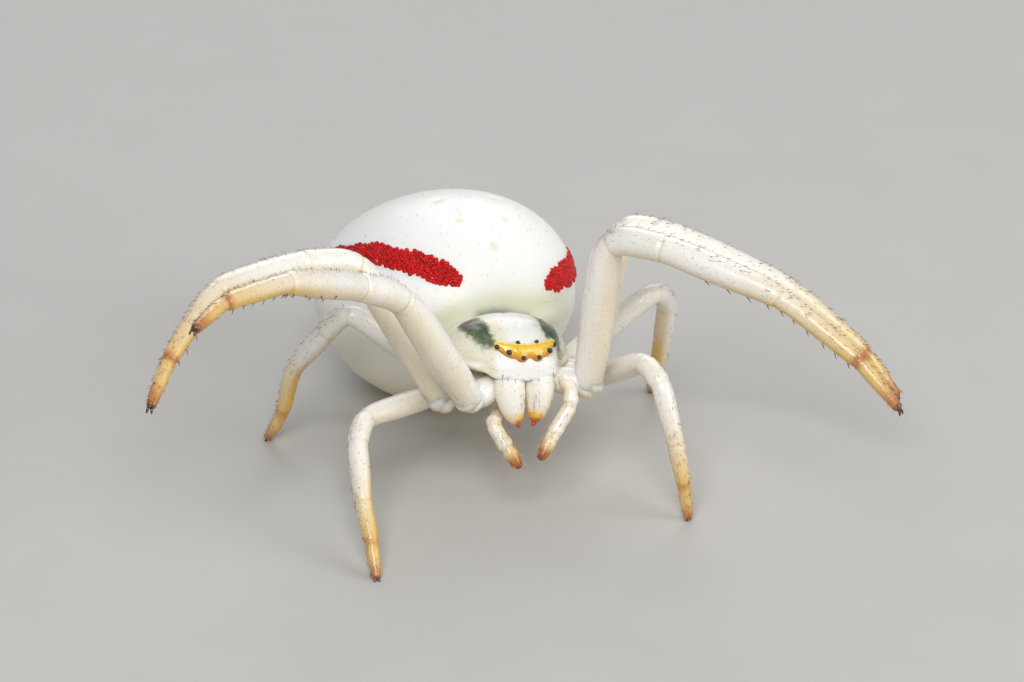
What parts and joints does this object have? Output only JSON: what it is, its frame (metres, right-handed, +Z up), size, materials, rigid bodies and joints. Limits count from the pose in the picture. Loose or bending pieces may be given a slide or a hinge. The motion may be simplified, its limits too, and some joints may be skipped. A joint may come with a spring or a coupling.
{
  "type": "crab spider",
  "caption": "Life-size still model of a white crab spider with red side stripes, crouched on the floor with its long front legs raised and held open.",
  "frame": {"origin": "on the floor under the middle of the whole model's box", "axes": "+Z up; the spider faces -Y and its own left side is +X; the span of the raised front legs runs along X"},
  "size_m": [0.0188, 0.0152, 0.0086],
  "materials": {
    "carapace": "translucent cream cuticle, glossy, with grey-green side patches and a yellow band between the eyes",
    "abdomen": "satin white skin with a grainy red stripe on each side",
    "leg": "pearly cream cuticle with fine dark hairs",
    "leg_tip": "brownish cuticle of the feet, claws and hairs",
    "eye": "glossy black"
  },
  "bodies": {
    "root": {"cephalothorax": "carapace", "abdomen": "abdomen", "spinnerets": "leg_tip", "chelicera_left": "carapace", "chelicera_right": "carapace", "palp_left": "leg", "palp_right": "leg", "eye_median_front_left": "eye", "eye_median_front_right": "eye", "eye_median_back_left": "eye", "eye_median_back_right": "eye", "eye_side_front_left": "eye", "eye_side_front_right": "eye", "eye_side_back_left": "eye", "eye_side_back_right": "eye", "leg1_left_femur": "leg", "leg1_left_tibia": "leg", "leg1_left_tarsus": "leg_tip", "leg2_left_femur": "leg", "leg2_left_tibia": "leg", "leg2_left_tarsus": "leg_tip", "leg3_left_femur": "leg", "leg3_left_tibia": "leg", "leg3_left_tarsus": "leg_tip", "leg4_left_femur": "leg", "leg4_left_tibia": "leg", "leg4_left_tarsus": "leg_tip", "leg1_right_femur": "leg", "leg1_right_tibia": "leg", "leg1_right_tarsus": "leg_tip", "leg2_right_femur": "leg", "leg2_right_tibia": "leg", "leg2_right_tarsus": "leg_tip", "leg3_right_femur": "leg", "leg3_right_tibia": "leg", "leg3_right_tarsus": "leg_tip", "leg4_right_femur": "leg", "leg4_right_tibia": "leg", "leg4_right_tarsus": "leg_tip"}
  },
  "joints": []
}
